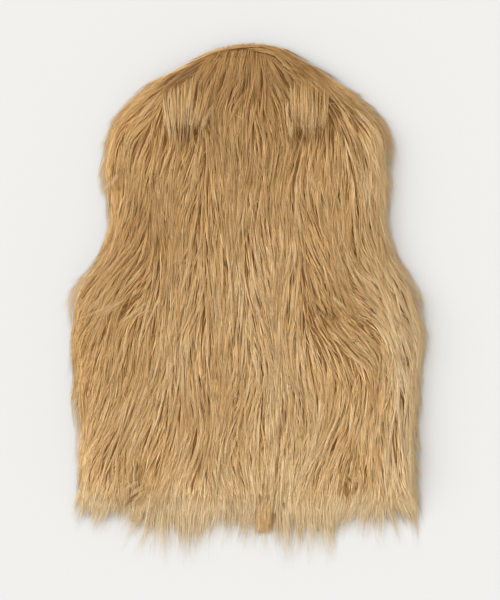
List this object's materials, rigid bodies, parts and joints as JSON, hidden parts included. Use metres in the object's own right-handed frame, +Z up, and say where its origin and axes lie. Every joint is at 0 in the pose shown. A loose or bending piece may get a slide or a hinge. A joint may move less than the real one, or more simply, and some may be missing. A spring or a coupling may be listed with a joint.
{
  "type": "fur vest",
  "caption": "Sleeveless vest of long camel-coloured fur, laid flat with its back up: back over open fronts, shaggy locks all round and pile hanging past the hem.",
  "frame": {"origin": "on the surface it lies on, under the middle of its box", "axes": "+Y from hem to neck, +Z up out of the surface, +X to the right of someone looking down on the back"},
  "size_m": [0.4778, 0.689, 0.0394],
  "materials": {
    "back_fur": "long combed pile in loose locks, soft sheen",
    "hem_fur": "long loose pile, paler at the tips",
    "front_fur": "long pile pressed flat under the vest"
  },
  "bodies": {
    "root": {"back": "back_fur", "back_hem_locks": "hem_fur", "front_left": "front_fur", "front_left_hem_locks": "front_fur", "front_right": "front_fur", "front_right_hem_locks": "front_fur"}
  },
  "joints": []
}
